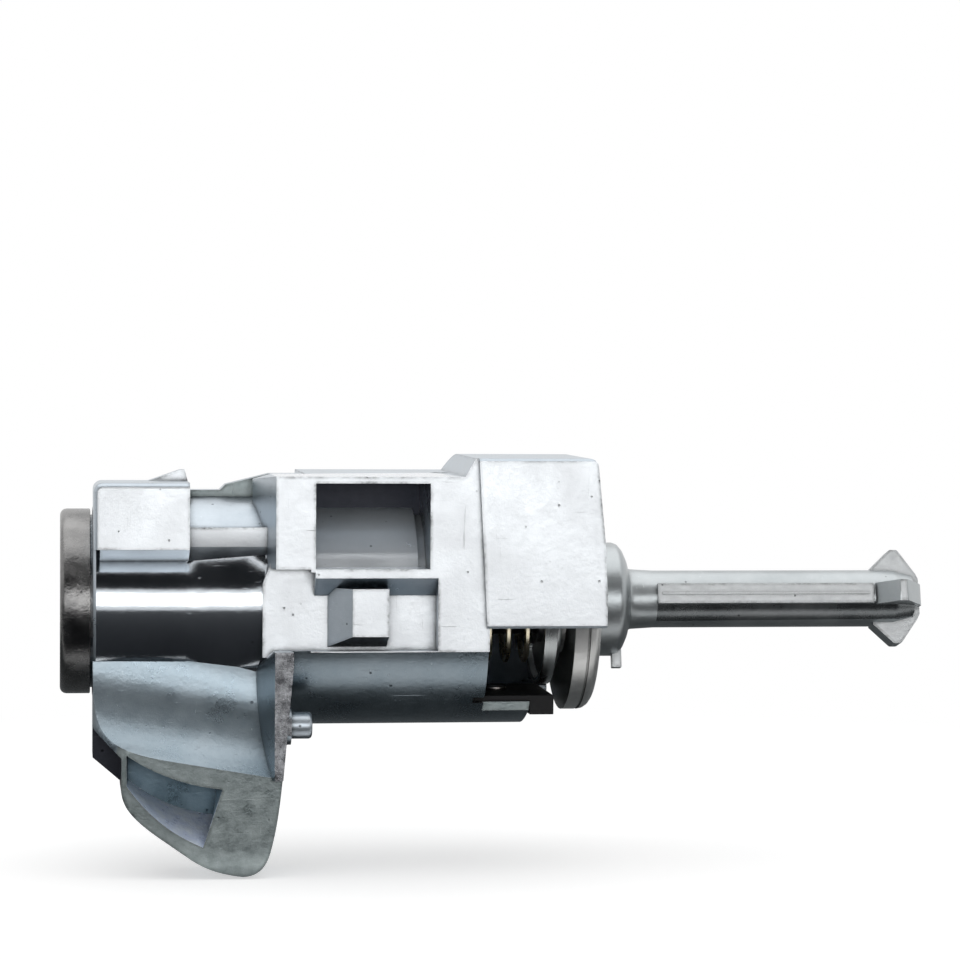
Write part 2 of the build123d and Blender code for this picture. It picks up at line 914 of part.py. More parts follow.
def wafer(index):
    """Flat wafer with a window, a tooth for the side track and a spring ear."""
    x = wafer_xs[index]
    x0 = x - wafer_thickness / 2
    x1 = x + wafer_thickness / 2
    half = wafer_width / 2
    solid = block(x0, x1, -half, half, -plug_radius, plug_radius)
    solid &= rod_x(wafer_ring, x0, x1)
    side = ear_side(index)
    ear = mirrored_y(half - ear_root, half + ear_length, side)
    solid += block(x0, x1, *ear, -ear_height / 2, ear_height / 2)
    window_half = wafer_window_width / 2
    top = wafer_window_height / 2
    solid -= block(x0 - clear, x1 + clear, -window_half, window_half, -top, top)
    tooth = mirrored_y(window_half - wafer_tooth_width, window_half + ear_root,
                       side)
    tooth_z = bitting[index] * bitting_step
    low = tooth_z - wafer_tooth_height / 2
    high = tooth_z + wafer_tooth_height / 2
    return solid + block(x0, x1, *tooth, low, high)


def wafer_pockets():
    """The slots that the wafers and their ears slide in."""
    half_x = wafer_thickness / 2 + wafer_side_gap
    half_y = wafer_width / 2 + wafer_side_gap
    ear_y = wafer_width / 2 + ear_length + 2 * wafer_side_gap
    ear_top = ear_height / 2 + wafer_travel + wafer_side_gap
    ear_foot = ear_height / 2 + comb_drop + ear_root
    cuts = []
    for index, x in enumerate(wafer_xs):
        side = ear_side(index)
        cuts.append(block(x - half_x, x + half_x, -half_y, half_y,
                          -plug_radius - clear, plug_radius + clear))
        y0, y1 = mirrored_y(half_y - ear_root, ear_y, side)
        low, high = sorted((-side * ear_foot, side * ear_top))
        cuts.append(block(x - half_x, x + half_x, y0, y1, low, high))
    return cuts


def comb_span(side):
    """Place of a spring comb's strip: its y and z ranges on one side."""
    inner = wafer_width / 2 + wafer_side_gap + comb_groove_gap
    y0, y1 = mirrored_y(inner, inner + comb_thickness, side)
    top = -(ear_height / 2 + comb_drop - comb_strip_height)
    low, high = sorted((side * top, side * (top - comb_strip_height)))
    return y0, y1, low, high


def wafer_comb(side):
    """Strip of spring steel with one finger under each ear of its side."""
    y0, y1, low, high = comb_span(side)
    xs = [x for i, x in enumerate(wafer_xs) if ear_side(i) == side]
    half = finger_width / 2
    end = half + comb_end
    solid = block(xs[0] - end, xs[-1] + end, y0, y1, low, high)
    reach = side * -(ear_height / 2 + finger_gap)
    foot = side * -(ear_height / 2 + comb_drop - comb_strip_height / 2)
    z0, z1 = sorted((reach, foot))
    for x in xs:
        solid += block(x - half, x + half, y0, y1, z0, z1)
    return solid


def comb_groove(side):
    """Groove in the flank of the plug, open outwards, for one comb."""
    y0, y1, low, high = comb_span(side)
    xs = [x for i, x in enumerate(wafer_xs) if ear_side(i) == side]
    end = finger_width / 2 + comb_end + comb_groove_gap
    inner = wafer_width / 2 + wafer_side_gap
    outer = mirrored_y(inner, plug_radius, side)
    return block(xs[0] - end, xs[-1] + end, *outer,
                 low - comb_groove_gap, high + comb_groove_gap)


def shutter_barrel():
    """Outer radius of the roll round the shutter's pin."""
    return shutter_pin_radius + shutter_pin_gap + shutter_barrel_wall


def shutter_place():
    """The pin of the shutter: its x and y."""
    return plug_front_x + shutter_set_back + shutter_barrel(), shutter_offset


def shutter():
    """Flap across the keyway, rolled round its pin at one long side."""
    x, y = shutter_place()
    roll = shutter_barrel()
    half = keyway_height / 2 - shutter_end_gap
    free_edge = -keyway_width / 2 + shutter_lap
    coil_room = shutter_coil_turns * shutter_coil_pitch + shutter_coil_room
    front = x - roll
    flap = block(front, front + shutter_thickness, free_edge, y,
                 -half, half - coil_room)
    flap += block(front, front + shutter_thickness, free_edge,
                  y - roll - shutter_swing_gap, -half, half)
    flap += rod_z(roll, -half, half - coil_room, x, y)
    bore = shutter_pin_radius + shutter_pin_gap
    return flap - rod_z(bore, -half - clear, half + clear, x, y)


def shutter_pin():
    """Pin through the front of the plug."""
    x, y = shutter_place()
    reach = keyway_height / 2 + shutter_pin_reach
    return rod_z(shutter_pin_radius, -reach, reach, x, y)


def shutter_spring():
    """Small coil round the shutter pin above the flap's barrel."""
    x, y = shutter_place()
    radius = shutter_pin_radius + shutter_wire
    height = shutter_coil_turns * shutter_coil_pitch - shutter_wire
    start = keyway_height / 2 - height - shutter_wire - shutter_coil_room / 2
    path = Pos(x, y, start) * Helix(shutter_coil_pitch, height, radius)
    section = Plane(origin=path @ 0, z_dir=path % 0) * RegularPolygon(
        shutter_wire / 2, shutter_wire_sides)
    return sweep(section, path, is_frenet=True)


def shutter_pocket():
    """Room in the plug for the flap to swing in beside the blade."""
    x, y = shutter_place()
    roll = shutter_barrel() + shutter_swing_gap
    swing = y + keyway_width / 2 + shutter_end_gap
    top = keyway_height / 2
    pocket = block(x - roll, x + swing, 0, y + roll, -top, top)
    reach = keyway_height / 2 + shutter_pin_reach + pin_gap
    return pocket + rod_z(shutter_pin_radius + pin_gap, -reach, reach, x, y)


def clip_x():
    """Front of the groove for the clip behind the sleeve."""
    return plug_shoulder_x + clip_gap


def plug():
    """Turned plug with its keyway, wafer slots, shutter room and rear slot."""
    groove_end = clip_x() + clip_thickness + clip_gap
    groove = neck_radius - clip_groove_depth
    solid = turned([
        (plug_front_x, 0), (plug_front_x, plug_radius),
        (flange_front_x, plug_radius), (flange_front_x, flange_radius),
        (flange_back_x, flange_radius), (flange_back_x, plug_radius),
        (plug_shoulder_x, plug_radius), (plug_shoulder_x, neck_radius),
        (clip_x(), neck_radius), (clip_x(), groove), (groove_end, groove),
        (groove_end, neck_radius), (plug_rear_x, neck_radius), (plug_rear_x, 0),
    ])
    solid -= block(plug_front_x - clear, keyway_end_x,
                   -keyway_width / 2, keyway_width / 2,
                   -keyway_height / 2, keyway_height / 2)
    solid -= wafer_pockets()
    solid -= comb_groove(1)
    solid -= comb_groove(-1)
    solid -= shutter_pocket()
    half = tongue_width / 2 + tongue_gap
    reach = neck_radius + clear
    solid -= block(plug_rear_x - tongue_length, plug_rear_x + clear,
                   -half, half, -reach, reach)
    return solid - rod_y(coupler_pin_radius + pin_gap, -reach, reach,
                         coupler_pin_x(), 0)


def open_clip(x0, inner, outer):
    """Flat spring-steel ring with a mouth on its lower side."""
    x1 = x0 + clip_thickness
    ring = rod_x(outer, x0, x1) - rod_x(inner, x0 - clear, x1 + clear)
    mouth = inner * clip_mouth
    return ring - block(x0 - clear, x1 + clear, -mouth, mouth, -outer - clear, 0)


def plug_clip():
    """Clip in the groove of the plug's neck, behind the sleeve."""
    inner = neck_radius - clip_groove_depth + clip_gap / 2
    return open_clip(clip_x() + clip_gap / 2, inner, neck_radius + clip_reach)


def coupler_pin_x():
    """Where the cross pin passes through the coupler's front tongue."""
    return plug_rear_x - tongue_length / 2


def coupler_rear_x():
    """Where the coupler's round body ends, in front of the disc's hub."""
    return disc_front_x - disc_hub_length - tongue_gap


def disc_floor_x():
    """Floor of the bore in the disc's neck, where the clip bears."""
    return disc_rear_x - disc_floor


def stud_clip_x():
    """Front of the groove for the clip behind the disc."""
    return disc_floor_x() + clip_gap


def drive_coupler():
    """Coupler with a tongue in the plug, a tongue in the disc and a stud."""
    front_x = plug_rear_x - tongue_length + tongue_gap
    body_x = plug_rear_x + tongue_gap
    solid = rod_x(coupler_radius, body_x, coupler_rear_x())
    half = tongue_width / 2
    top = tongue_height / 2
    solid += block(front_x, body_x + weld, -half, half, -top, top)
    tongue_end = coupler_rear_x() + tongue_length
    solid += block(coupler_rear_x() - weld, tongue_end, -half, half, -top, top)
    groove = stud_radius - stud_groove
    groove_end = stud_clip_x() + clip_thickness + clip_gap
    stud_end = groove_end + stud_end_land
    solid += turned([
        (tongue_end - weld, 0), (tongue_end - weld, stud_radius),
        (stud_clip_x(), stud_radius), (stud_clip_x(), groove),
        (groove_end, groove), (groove_end, stud_radius),
        (stud_end, stud_radius), (stud_end, 0),
    ])
    return solid - rod_y(coupler_pin_radius + pin_gap, -half - clear,
                         half + clear, coupler_pin_x(), 0)


def coupler_pin():
    """Cross pin through the plug's neck and the coupler's front tongue."""
    reach = neck_radius - coupler_pin_end
    return rod_y(coupler_pin_radius, -reach, reach, coupler_pin_x(), 0)


def coupler_clip():
    """Clip on the coupler's stud, inside the disc's neck."""
    inner = stud_radius - stud_groove + clip_gap / 2
    return open_clip(stud_clip_x() + clip_gap / 2, inner, coupler_clip_radius)


# The disc, the tail and what lies round the coupler

def drive_disc():
    """Turned disc with a line round its rim, a hub and a hollow neck."""
    line_x0 = disc_front_x + disc_line_x
    line_x1 = line_x0 + disc_line_width
    line_radius = disc_radius - disc_line_depth
    hub_x = disc_front_x - disc_hub_length
    neck_end = disc_rear_x + disc_neck_length
    rear = arc_points(disc_rear_x - disc_rear_round,
                      disc_radius - disc_rear_round,
                      disc_rear_round, disc_rear_round, 90, 0)
    solid = turned([
        (hub_x, 0), (hub_x, disc_hub_radius), (disc_front_x, disc_hub_radius),
        (disc_front_x, disc_radius), (line_x0, disc_radius),
        (line_x0, line_radius), (line_x1, line_radius), (line_x1, disc_radius),
        *rear, (disc_rear_x, disc_neck_radius),
        (neck_end, disc_neck_radius), (neck_end, neck_bore_radius),
        (disc_floor_x(), neck_bore_radius), (disc_floor_x(), 0),
    ])
    half = tongue_width / 2 + tongue_gap
    top = tongue_height / 2 + tongue_gap
    solid -= block(hub_x - clear,
                   coupler_rear_x() + tongue_length + tongue_gap,
                   -half, half, -top, top)
    solid -= rod_x(stud_radius + neck_seat_gap, hub_x, disc_rear_x)
    return solid - cross_pin_hole()


def cross_pin_span(gap):
    """The square pin with a gap all round it: its x, y and z ranges."""
    half = cross_pin_side / 2 + gap
    x = disc_rear_x + cross_pin_x
    return x - half, x + half, -half, half


def cross_pin_hole():
    """Square cross hole for the tail's pin, turned with the tail."""
    hole = block(*cross_pin_span(pin_gap), -collar_radius - cross_pin_out - clear,
                 -cross_pin_in + pin_gap)
    return Rot(tail_roll, 0, 0) * hole


def tail_pin():
    """Square pin from the collar into the disc's neck, with its end left out."""
    pin = block(*cross_pin_span(0), -collar_radius - cross_pin_out,
                -cross_pin_in)
    return Rot(tail_roll, 0, 0) * pin


def tail_shaft():
    """Cast tail: socketed collar with a domed end, ribbed shaft, finned tip."""
    collar_x = disc_rear_x + collar_gap
    socket_end = disc_rear_x + disc_neck_length + collar_gap
    socket = disc_neck_radius + neck_seat_gap
    full = math.degrees(math.acos(dome_end / dome_length))
    dome = arc_points(collar_end_x, 0, dome_length, collar_radius, 90, full)
    core_x = tail_end_x - tip_core_back
    solid = turned([
        (collar_x, socket), (collar_x, collar_radius), *dome,
        (dome_end_x + weld, shaft_start_radius), (rib_start_x, shaft_radius),
        (core_x - tip_core_taper, shaft_radius), (core_x, tip_end_radius),
        (core_x, 0), (socket_end, 0), (socket_end, socket),
    ])
    solid += tail_ribs()
    for angle in (0, 90):
        solid += Rot(angle, 0, 0) * tip_blade()
    solid = Rot(tail_roll, 0, 0) * solid
    return solid - cross_pin_hole()


def tail_ribs():
    """Flat ribs on two sides, each with the mould's parting ridge."""
    half = rib_width / 2
    top = shaft_radius + rib_height
    ridge = parting_ridge_width / 2
    ribs = []
    for side in (-1, 1):
        y0, y1 = sorted((side * (shaft_radius - rib_sink), side * top))
        ribs.append(block(rib_start_x, rib_end_x, y0, y1, -half, half))
        crest = top + parting_ridge_height
        y0, y1 = sorted((side * (top - parting_ridge_height), side * crest))
        ribs.append(block(rib_start_x + parting_ridge_end,
                          rib_end_x - parting_ridge_end, y0, y1, -ridge, ridge))
    return ribs


def tip_blade():
    """One pair of opposite fins at the tip."""
    top = [
        (tip_start_x, shaft_radius - rib_sink), (tip_start_x, shaft_radius),
        (tip_peak_x - tip_flat, tip_radius), (tip_peak_x + tip_flat, tip_radius),
        (tail_end_x - tip_end_bevel, tip_end_radius),
        (tail_end_x, tip_end_radius - 2 * tip_end_bevel),
    ]
    bottom = [(x, -z) for x, z in reversed(top)]
    half = fin_thickness / 2
    blade = side_profile(closed(top + bottom), -half, half)
    peaks = [e for e in blade.edges().filter_by(Axis.Y)
             if abs(e.center().Z) > tip_radius - tip_end_bevel]
    return fillet(peaks, tip_end_round)


def spring_start_x():
    """Middle of the wire where the return spring starts."""
    return body_end + spring_start_gap + spring_wire / 2


def return_spring():
    """Torsion spring round the coupler, with a leg at each end."""
    height = spring_pitch * spring_turns
    path = Helix(spring_pitch, height, spring_mean_radius,
                 center=(spring_start_x(), 0, 0), direction=(1, 0, 0))
    start, end = path @ 0, path @ 1
    wire = RegularPolygon(spring_wire / 2, spring_wire_sides)
    coil = sweep(Plane(origin=start, z_dir=path % 0) * wire, path, is_frenet=True)
    for point in (start, end):
        outward = Vector(0, point.Y, point.Z).normalized()
        leg = Plane(origin=point, x_dir=(1, 0, 0), z_dir=outward) * wire
        coil += extrude(leg, amount=spring_leg)
    return Rot(spring_roll, 0, 0) * coil


def spring_seat():
    """Lipped ring between the return spring and the disc, with its stop."""
    rear_x = coupler_rear_x() - washer_thickness - stack_gap
    front_x = rear_x - seat_thickness
    lip_x = front_x + seat_thickness / 2
    bore = coupler_radius + seat_bore_gap
    ring = turned([
        (front_x, bore), (front_x, bore + seat_lip), (lip_x, bore + seat_lip),
        (lip_x, seat_radius - seat_lip), (front_x, seat_radius - seat_lip),
        (front_x, seat_radius), (rear_x, seat_radius), (rear_x, bore),
    ])
    roll = spring_roll + 360 * spring_turns
    return ring + spring_stop(front_x - stop_length, lip_x + weld, roll)


def thrust_washer():
    """Plain washer between the spring seat and the disc's hub."""
    rear_x = disc_front_x - disc_hub_length - stack_gap
    front_x = rear_x - washer_thickness
    bore = coupler_radius + seat_bore_gap
    return rod_x(washer_radius, front_x, rear_x) - rod_x(
        bore, front_x - clear, rear_x + clear)


def spring_retainer():
    """Black moulded strip on the tongue, with a foot that hooks over its end."""
    half = strip_half_width
    strip = block(strip_start_x, strip_end_x, -half, half,
                  strip_floor, strip_floor + strip_thickness)
    foot = block(tongue_end_x + strip_gap, strip_end_x, -half, half,
                 strip_floor - strip_foot_height, strip_floor + weld)
    hole = rod_z(rivet_radius + pin_gap, strip_floor - clear,
                 strip_floor + strip_thickness + clear, rivet_x, 0)
    return strip + foot - hole


def retainer_rivet():
    """Rivet that holds the black strip down on the tongue."""
    top = strip_floor + strip_thickness + strip_gap
    low = -tongue_top - rivet_depth + pin_gap
    shank = rod_z(rivet_radius, low, top + rivet_head_height / 2, rivet_x, 0)
    return shank + rod_z(rivet_head, top, top + rivet_head_height, rivet_x, 0)


parts = {
    "housing": housing(),
    "front_cap": front_cap(),
    "cap_seal": cap_seal(),
    "lock_sleeve": lock_sleeve(),
    "sleeve_pin": sleeve_pin(),
    "plug": plug(),
    "wafer_comb_right": wafer_comb(1),
    "wafer_comb_left": wafer_comb(-1),
    "shutter": shutter(),
    "shutter_pin": shutter_pin(),
    "shutter_spring": shutter_spring(),
    "plug_clip": plug_clip(),
    "drive_coupler": drive_coupler(),
    "coupler_pin": coupler_pin(),
    "coupler_clip": coupler_clip(),
    "return_spring": return_spring(),
    "spring_seat": spring_seat(),
    "thrust_washer": thrust_washer(),
    "drive_disc": drive_disc(),
    "tail_shaft": tail_shaft(),
    "tail_pin": tail_pin(),
    "spring_retainer": spring_retainer(),
    "retainer_rivet": retainer_rivet(),
}
for index in range(wafer_count):
    parts["wafer_" + str(index + 1)] = wafer(index)

for name, solid in parts.items():
    export_step(solid, "parts/" + name + ".step")
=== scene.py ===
import math

import bpy
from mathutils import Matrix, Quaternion, Vector


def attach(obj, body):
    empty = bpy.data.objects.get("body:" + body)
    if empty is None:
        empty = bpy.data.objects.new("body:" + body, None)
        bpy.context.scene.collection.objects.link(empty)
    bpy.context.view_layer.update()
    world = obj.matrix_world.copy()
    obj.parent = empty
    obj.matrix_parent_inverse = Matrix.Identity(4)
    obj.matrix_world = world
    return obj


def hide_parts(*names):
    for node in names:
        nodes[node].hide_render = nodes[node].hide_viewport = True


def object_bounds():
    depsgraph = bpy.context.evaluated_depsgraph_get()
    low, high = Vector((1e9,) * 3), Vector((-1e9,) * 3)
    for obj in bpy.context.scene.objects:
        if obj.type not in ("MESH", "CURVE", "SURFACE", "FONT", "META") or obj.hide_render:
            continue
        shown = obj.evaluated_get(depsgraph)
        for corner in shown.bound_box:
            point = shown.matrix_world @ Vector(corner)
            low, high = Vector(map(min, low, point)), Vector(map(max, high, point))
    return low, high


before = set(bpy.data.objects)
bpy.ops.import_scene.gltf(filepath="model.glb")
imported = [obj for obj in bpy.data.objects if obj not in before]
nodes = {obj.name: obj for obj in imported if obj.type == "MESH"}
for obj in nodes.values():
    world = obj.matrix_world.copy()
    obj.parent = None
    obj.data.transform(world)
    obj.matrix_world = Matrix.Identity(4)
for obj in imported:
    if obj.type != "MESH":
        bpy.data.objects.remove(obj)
cad_box = [list(corner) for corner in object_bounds()]


# The housing is one pressure die casting in zinc, blue-white and left as
# cast. Its edges are rolled by tumbling, its barrel is smooth from the die,
# and the plate's near edge is torn where the gate was broken off.
MM = 0.001


def add(tree, kind, settings=(), **sockets):
    """One node. A socket takes a number, a colour or another socket."""
    node = tree.nodes.new("ShaderNode" + kind)
    for key, value in dict(settings).items():
        setattr(node, key, value)
    for key, value in sockets.items():
        socket = node.inputs[key.replace("_", " ")]
        if isinstance(value, bpy.types.NodeSocket):
            tree.links.new(value, socket)
        else:
            socket.default_value = value
    return node


def sum_up(tree, operation, first, second):
    """Arithmetic on two values or sockets."""
    node = tree.nodes.new("ShaderNodeMath")
    node.operation = operation
    for socket, value in zip(node.inputs, (first, second)):
        if isinstance(value, bpy.types.NodeSocket):
            tree.links.new(value, socket)
        else:
            socket.default_value = value
    return node.outputs[0]


def tint(tree, factor, first, second):
    """A colour between two others, as a socket."""
    node = tree.nodes.new("ShaderNodeMix")
    node.data_type = "RGBA"
    tree.links.new(factor, node.inputs[0])
    for socket, value in zip(node.inputs[6:8], (first, second)):
        if isinstance(value, bpy.types.NodeSocket):
            tree.links.new(value, socket)
        else:
            socket.default_value = (*value, 1.0)
    return node.outputs[2]


def ramp(tree, value, low, high, to_low=0.0, to_high=1.0):
    """The part of a value between two limits, stretched to two others."""
    node = add(tree, "MapRange", Value=value, From_Min=low, From_Max=high,
               To_Min=to_low, To_Max=to_high)
    return node.outputs[0]


def lines_along(tree, place, turn, stretch, low, high):
    """Thin scratches: noise pulled out along one turned direction."""
    turned = add(tree, "Mapping", Vector=place, Rotation=turn, Scale=stretch)
    noise = add(tree, "TexNoise", Vector=turned.outputs[0], Scale=1.0,
                Detail=2.0, Roughness=0.6)
    return ramp(tree, noise.outputs[0], low, high)


def metal_skin():
    """Blotches, grain, pits and scratches of a metal face, each 0 to 1."""
    tree = bpy.data.node_groups.new("metal_skin", "ShaderNodeTree")
    for name in ("Blotch Scale", "Grain Scale", "Pit Scale"):
        tree.interface.new_socket(name, in_out="INPUT",
                                  socket_type="NodeSocketFloat")
    for name in ("Blotches", "Grain", "Pits", "Scratches"):
        tree.interface.new_socket(name, in_out="OUTPUT",
                                  socket_type="NodeSocketFloat")
    given = tree.nodes.new("NodeGroupInput")
    result = tree.nodes.new("NodeGroupOutput")
    place = tree.nodes.new("ShaderNodeTexCoord").outputs["Object"]
    blotch = add(tree, "TexNoise", Vector=place, Detail=6.0, Roughness=0.62,
                 Scale=given.outputs["Blotch Scale"])
    grain = add(tree, "TexNoise", Vector=place, Detail=5.0, Roughness=0.7,
                Scale=given.outputs["Grain Scale"])
    cells = add(tree, "TexVoronoi", Vector=place,
                Scale=given.outputs["Pit Scale"])
    dots = ramp(tree, cells.outputs["Distance"], 0.10, 0.17, 1.0, 0.0)
    pick = add(tree, "SeparateColor", Color=cells.outputs["Color"])
    few = ramp(tree, pick.outputs[0], 0.90, 0.93)
    pits = sum_up(tree, "MULTIPLY", dots, few)
    first = lines_along(tree, place, (0.3, 0.5, 0.2), (90, 2600, 2600),
                        0.70, 0.76)
    second = lines_along(tree, place, (0.9, -0.7, 0.6), (2300, 2300, 80),
                         0.70, 0.76)
    scratches = sum_up(tree, "MAXIMUM", first, second)
    patches = ramp(tree, blotch.outputs[0], 0.42, 0.62)
    worn = sum_up(tree, "MULTIPLY", scratches, patches)
    spread = ramp(tree, blotch.outputs[0], 0.3, 0.7)
    for name, socket in (("Blotches", spread), ("Pits", pits),
                         ("Grain", grain.outputs[0]), ("Scratches", worn)):
        tree.links.new(socket, result.inputs[name])
    return tree


skin = metal_skin()


def metal(name, dark, light, shine, dull, depth=0.02, grain=1.0, pits=1.5,
          scratches=0.6, scales=(90, 1400, 700), corner_shade=0.0, rim=0.0,
          rubbed=1.25, metallic=1.0):
    """A metal finish: two tones, two roughnesses, a relief in mm, and painted shade
    darkening its corners by the amount given.
    """
    finish = bpy.data.materials.new(name)
    finish.use_nodes = True
    tree = finish.node_tree
    shader = tree.nodes["Principled BSDF"]
    shader.inputs["Metallic"].default_value = metallic
    marks = tree.nodes.new("ShaderNodeGroup")
    marks.node_tree = skin
    for socket, scale in zip(marks.inputs, scales):
        socket.default_value = scale
    blotches, fine, holes, worn = marks.outputs
    colour = tint(tree, blotches, dark, light)
    bright = [min(1.0, rubbed * part + 0.08) for part in light]
    colour = tint(tree, sum_up(tree, "MULTIPLY", worn, scratches), colour,
                  bright)
    colour = tint(tree, sum_up(tree, "MULTIPLY", holes, 0.75), colour,
                  [0.3 * part for part in dark])
    # Painted shade: the colour darkens where ambient occlusion is low, in corners, creases
    # and recesses, broken up by the grain.
    if corner_shade:
        near = add(tree, "AmbientOcclusion", {"samples": 6},
                   Distance=1.6 * MM)
        corner = ramp(tree, near.outputs["AO"], 0.35, 0.85, corner_shade, 0.0)
        corner = sum_up(tree, "MULTIPLY", corner,
                        ramp(tree, fine, 0.3, 0.6, 0.55, 1.0))
        colour = tint(tree, corner, colour, [0.16 * part for part in dark])
    if rim:
        rounded = add(tree, "Bevel", {"samples": 6}, Radius=0.8 * MM)
        here = tree.nodes.new("ShaderNodeNewGeometry").outputs["Normal"]
        flush = add(tree, "VectorMath", {"operation": "DOT_PRODUCT"})
        tree.links.new(rounded.outputs[0], flush.inputs[0])
        tree.links.new(here, flush.inputs[1])
        by_edge = ramp(tree, flush.outputs["Value"], 0.93, 0.998, 1.0, 0.0)
        crumbs = sum_up(tree, "MULTIPLY", by_edge,
                        ramp(tree, blotches, 0.35, 0.8, 0.3 * rim, rim))
        crumbs = sum_up(tree, "MULTIPLY", crumbs,
                        ramp(tree, fine, 0.42, 0.58, 1.0, 0.5))
        colour = tint(tree, crumbs, colour, [0.13 * part for part in dark])
    mixed = sum_up(tree, "ADD", sum_up(tree, "MULTIPLY", blotches, 0.55),
                   sum_up(tree, "MULTIPLY", fine, 0.45))
    tree.links.new(ramp(tree, mixed, 0.2, 0.8, shine, dull),
                   shader.inputs["Roughness"])
    tree.links.new(colour, shader.inputs["Base Color"])
    relief = sum_up(tree, "MULTIPLY", fine, grain)
    relief = sum_up(tree, "SUBTRACT", relief,
                    sum_up(tree, "MULTIPLY", holes, pits))
    relief = sum_up(tree, "SUBTRACT", relief,
                    sum_up(tree, "MULTIPLY", worn, scratches))
    bump = add(tree, "Bump", Height=relief, Strength=1.0,
               Distance=depth * MM)
    tree.links.new(bump.outputs[0], shader.inputs["Normal"])
    return finish


def finished(node, body, finishes, width, angle=30):
    """A merged copy of a node with rolled edges in the second finish."""
    weld = 0.002 * MM
    flat_within = math.radians(0.6)
    smooth_within = math.radians(32)
    piece = bpy.data.objects.new(node + "_finished",
                                 nodes[node].data.copy())
    bpy.context.scene.collection.objects.link(piece)
    bpy.ops.object.select_all(action="DESELECT")
    piece.select_set(True)
    bpy.context.view_layer.objects.active = piece
    bpy.ops.object.mode_set(mode="EDIT")
    bpy.ops.mesh.select_all(action="SELECT")
    bpy.ops.mesh.customdata_custom_splitnormals_clear()
    bpy.ops.mesh.remove_doubles(threshold=weld)
    bpy.ops.mesh.dissolve_limited(angle_limit=flat_within)
    bpy.ops.object.mode_set(mode="OBJECT")
    piece.data.materials.clear()
    for finish in finishes:
        piece.data.materials.append(finish)
    for face in piece.data.polygons:
        face.material_index = 0
    rolled = piece.modifiers.new("rolled edges", "BEVEL")
    rolled.limit_method = "ANGLE"
    rolled.angle_limit = math.radians(angle)
    rolled.width = width * MM
    rolled.segments = 2
    rolled.material = min(1, len(finishes) - 1)
    bpy.ops.object.modifier_apply(modifier=rolled.name)
    bpy.ops.object.shade_smooth_by_angle(angle=smooth_within)
    flat = piece.modifiers.new("flat faces stay flat", "WEIGHTED_NORMAL")
    flat.keep_sharp = True
    flat.weight = 50
    bpy.ops.object.modifier_apply(modifier=flat.name)
    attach(piece, body)
    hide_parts(node)
    return piece


# Painted light and shade: faces turned to the camera take a light copy of the zinc, and
# faces turned away take a darker, shaded copy.
cast_face_lit = metal("zinc_cast_face", (0.74, 0.77, 0.795),
                  (0.82, 0.845, 0.87), 0.38, 0.52, depth=0.03,
                  scratches=0.8, scales=(200, 1300, 900), corner_shade=0.9,
                  rim=0.95, rubbed=0.5)
cast_side_shaded = metal("zinc_cast_side", (0.36, 0.405, 0.445),
                  (0.51, 0.56, 0.605), 0.24, 0.42, depth=0.02,
                  scales=(120, 1600, 800), corner_shade=0.9, rim=0.6)
# Painted light: a near-white copy of the zinc for the window's floor, and a painted
# highlight on the rolled edges of the lower front.
cast_painted_light = metal("zinc_painted_light", (0.80, 0.84, 0.88),
                    (0.90, 0.94, 0.98), 0.16, 0.28, depth=0.012,
                    scales=(160, 1500, 800), corner_shade=0.4, metallic=0.45)
cast_fin = metal("zinc_grainy_fin", (0.155, 0.182, 0.184),
                 (0.27, 0.305, 0.305), 0.26, 0.44, depth=0.04,
                 scratches=0.6, scales=(420, 1500, 900), corner_shade=0.9,
                 rim=0.7)
# Painted shade: a dark teal copy of the zinc for the pocket's walls.
cast_pocket_shade = metal("zinc_teal_pocket_shade", (0.075, 0.115, 0.145),
                    (0.15, 0.205, 0.245), 0.24, 0.4, depth=0.02,
                    scales=(160, 1700, 900), corner_shade=0.7)
# Painted light: a pale, nearly non-metallic copy of the zinc makes the pocket's upturned
# floor look lit.
cast_floor_lit = metal("zinc_sparkling_floor_lit", (0.60, 0.70, 0.92),
                   (0.84, 0.92, 1.0), 0.24, 0.4, depth=0.09, grain=1.6,
                   scales=(420, 1500, 900), corner_shade=0.3, metallic=0.1)
# Painted shade: a near-black copy of the zinc for the back of the window and the undercut.
cast_deep_shade = metal("zinc_painted_deep_shade", (0.013, 0.014, 0.018),
                  (0.034, 0.036, 0.043), 0.3, 0.5, depth=0.02)
cast_edge = metal("zinc_rolled_edge", (0.16, 0.175, 0.19),
                  (0.44, 0.47, 0.50), 0.14, 0.32, depth=0.05,
                  scales=(700, 1900, 900), corner_shade=0.8)
cast_barrel = metal("zinc_smooth_barrel", (0.50, 0.54, 0.58),
                    (0.64, 0.68, 0.72), 0.06, 0.12, depth=0.006,
                    pits=2.0, corner_shade=0.9)
cast_shelf = metal("zinc_satin_shelf", (0.20, 0.25, 0.285),
                   (0.335, 0.39, 0.43), 0.24, 0.36, depth=0.03,
                   scratches=1.0, scales=(110, 1500, 700), corner_shade=0.9)
cast_torn = metal("zinc_torn_edge", (0.05, 0.052, 0.058), (0.60, 0.61, 0.64),
                  0.16, 0.4, depth=0.3, grain=1.8,
                  scales=(600, 1100, 900))

